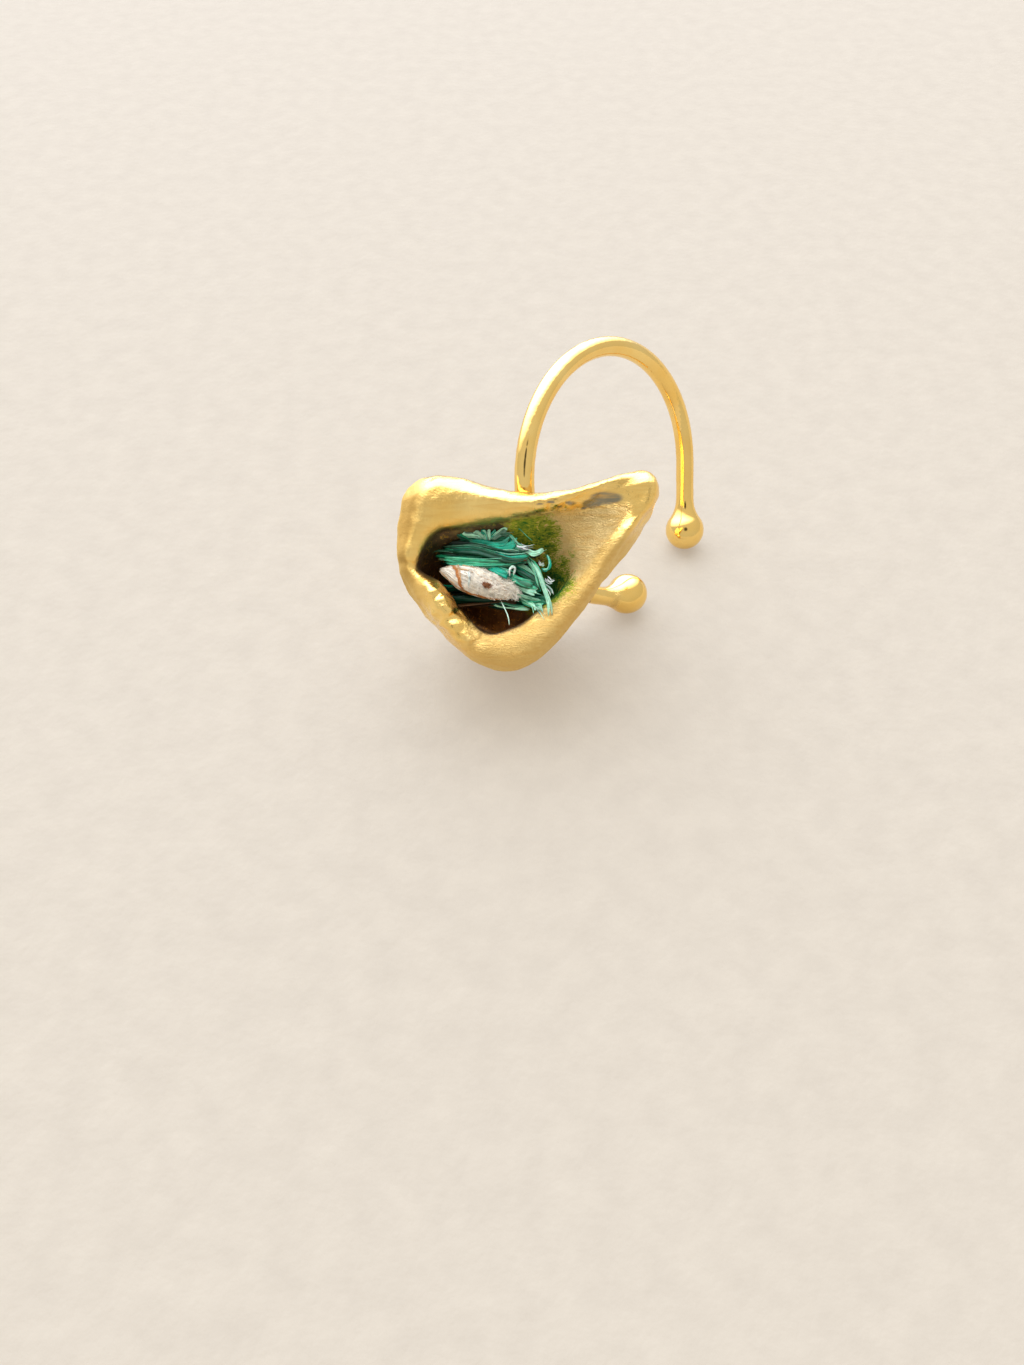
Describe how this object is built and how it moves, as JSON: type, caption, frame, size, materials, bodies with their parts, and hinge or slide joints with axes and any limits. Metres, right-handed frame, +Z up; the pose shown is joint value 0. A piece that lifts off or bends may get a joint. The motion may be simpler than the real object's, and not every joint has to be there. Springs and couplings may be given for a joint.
{
  "type": "ear cuff",
  "caption": "Open wire ear cuff with ball ends, soldered to a hollow cast pod whose mouth holds a tuft of frayed rope.",
  "frame": {"origin": "on the table, under the middle of the cuff's outer box as it lies", "axes": "+Z up from the table, +X to the right and -Y towards the viewer who looks into the pod's mouth"},
  "size_m": [0.0178, 0.0178, 0.0136],
  "materials": {
    "gold_plating": "polished gold plating over brass, satin where it is worn, dark in the hollow",
    "green_rope": "flat shiny synthetic rope fibre, frayed",
    "white_yarn": "matt cottony fibre"
  },
  "bodies": {
    "root": {"cast_cuff": "gold_plating", "green_rope_tuft": "green_rope", "white_rope_yarn": "white_yarn"}
  },
  "joints": []
}
